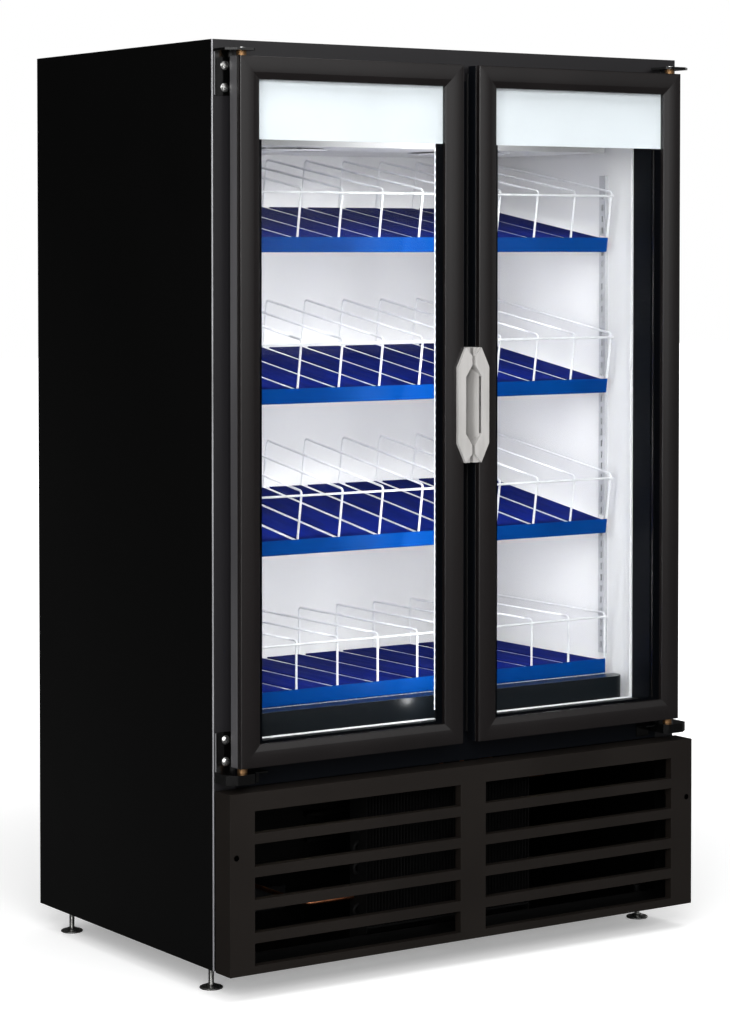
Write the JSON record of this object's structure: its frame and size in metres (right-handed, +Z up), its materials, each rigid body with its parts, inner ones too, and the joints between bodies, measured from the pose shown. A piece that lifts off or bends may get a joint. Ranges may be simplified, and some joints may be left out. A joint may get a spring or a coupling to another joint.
{
  "type": "two-door reach-in cooler",
  "caption": "Upright glass-door reach-in cooler with hinged doors, tilted wire shelves with lane dividers and a grille-fronted machine base.",
  "frame": {"origin": "on the floor, under the centre of the outer box", "axes": "+Z up, doors face -Y, +X to the right of a person who faces the doors"},
  "size_m": [1.2, 0.81, 1.925],
  "materials": {
    "black_panel": "satin black powder coat",
    "black_trim": "semi-gloss black",
    "foam": "rigid polyurethane foam",
    "white_liner": "gloss white paint",
    "white_wire": "gloss white coated wire",
    "navy_mat": "ribbed low friction plastic",
    "blue_strip": "glossy royal blue",
    "lamp_lens": "translucent white lens",
    "zinc_steel": "zinc plated",
    "finned_coil": "thin fins",
    "motor_grey": "dark grey paint",
    "black_plastic": "moulded",
    "black_enamel": "black enamel",
    "grey_box": "grey paint",
    "copper": "drawn copper tube",
    "grille_black": "satin charcoal black",
    "hinge_black": "black plated steel",
    "door_black": "satin charcoal profile",
    "door_glass": "clear tempered glass",
    "spacer_black": "black anodised",
    "gasket_rubber": "soft magnetic gasket",
    "header_white": "plain pale band",
    "handle_grey": "satin light grey",
    "bush_brass": "bronze bush"
  },
  "bodies": {
    "cabinet": {"side_panel_left": "black_panel", "side_panel_right": "black_panel", "top_panel": "black_panel", "back_panel": "black_panel", "header_panel": "black_panel", "face_frame": "black_trim", "insulation": "foam", "base_pan": "black_panel", "rear_grille": "black_panel", "liner": "white_liner", "mullion": "black_trim", "led_strips": "lamp_lens", "leveling_feet": "zinc_steel", "sill_cover": "black_trim", "pilasters": "white_liner", "shelf_clips": "white_wire", "shelf_deck_1": "white_wire", "shelf_deck_2": "white_wire", "shelf_deck_3": "white_wire", "shelf_deck_4": "white_wire", "shelf_dividers_1": "white_wire", "shelf_dividers_2": "white_wire", "shelf_dividers_3": "white_wire", "shelf_dividers_4": "white_wire", "shelf_glides": "navy_mat", "shelf_strips": "blue_strip", "evaporator_cover": "white_liner", "evaporator_coil": "finned_coil", "evaporator_fan_motors": "motor_grey", "compressor": "black_enamel", "condenser_coil": "finned_coil", "condenser_fan_motor": "motor_grey", "drain_pan": "black_plastic", "control_box": "grey_box", "refrigerant_pipes": "copper", "front_grille": "grille_black", "top_hinges": "hinge_black", "bottom_hinges": "hinge_black", "hinge_pins": "zinc_steel", "screws": "zinc_steel"},
    "left_door": {"left_door_frame": "door_black", "left_door_glass": "door_glass", "left_door_spacer": "spacer_black", "left_door_gasket": "gasket_rubber", "left_header_band": "header_white", "left_handle": "handle_grey", "left_door_bushings": "bush_brass"},
    "right_door": {"right_door_frame": "door_black", "right_door_glass": "door_glass", "right_door_spacer": "spacer_black", "right_door_gasket": "gasket_rubber", "right_header_band": "header_white", "right_handle": "handle_grey", "right_door_bushings": "bush_brass"},
    "evaporator_fan_left": {"evaporator_fan_left": "black_plastic"},
    "evaporator_fan_right": {"evaporator_fan_right": "black_plastic"},
    "condenser_fan": {"condenser_fan": "black_plastic"},
    "thermostat_knob": {"thermostat_knob": "black_plastic"},
    "light_switch": {"light_switch": "black_plastic"}
  },
  "joints": [
    {"name": "left_door_swing", "type": "hinge", "parent": "cabinet", "child": "left_door", "pos_m": [-0.553, -0.376, 1], "axis": [0, 0, -1], "range_deg": [0, 120], "stiffness_Nm_per_rad": 2.5},
    {"name": "right_door_swing", "type": "hinge", "parent": "cabinet", "child": "right_door", "pos_m": [0.553, -0.376, 1], "axis": [0, 0, 1], "range_deg": [0, 120], "stiffness_Nm_per_rad": 2.5},
    {"name": "evaporator_fan_left_spin", "type": "hinge", "parent": "cabinet", "child": "evaporator_fan_left", "pos_m": [-0.24, -0.01, 1.73], "axis": [0, 0, 1], "continuous": true},
    {"name": "evaporator_fan_right_spin", "type": "hinge", "parent": "cabinet", "child": "evaporator_fan_right", "pos_m": [0.24, -0.01, 1.73], "axis": [0, 0, 1], "continuous": true},
    {"name": "condenser_fan_spin", "type": "hinge", "parent": "cabinet", "child": "condenser_fan", "pos_m": [0, -0.21, 0.23], "axis": [0, -1, 0], "continuous": true},
    {"name": "thermostat_turn", "type": "hinge", "parent": "cabinet", "child": "thermostat_knob", "pos_m": [0.48, -0.19, 1.798], "axis": [0, -1, 0], "range_deg": [0, 270]},
    {"name": "light_switch_rock", "type": "hinge", "parent": "cabinet", "child": "light_switch", "pos_m": [0.42, -0.193, 1.798], "axis": [1, 0, 0], "range_deg": [-12, 12]}
  ]
}
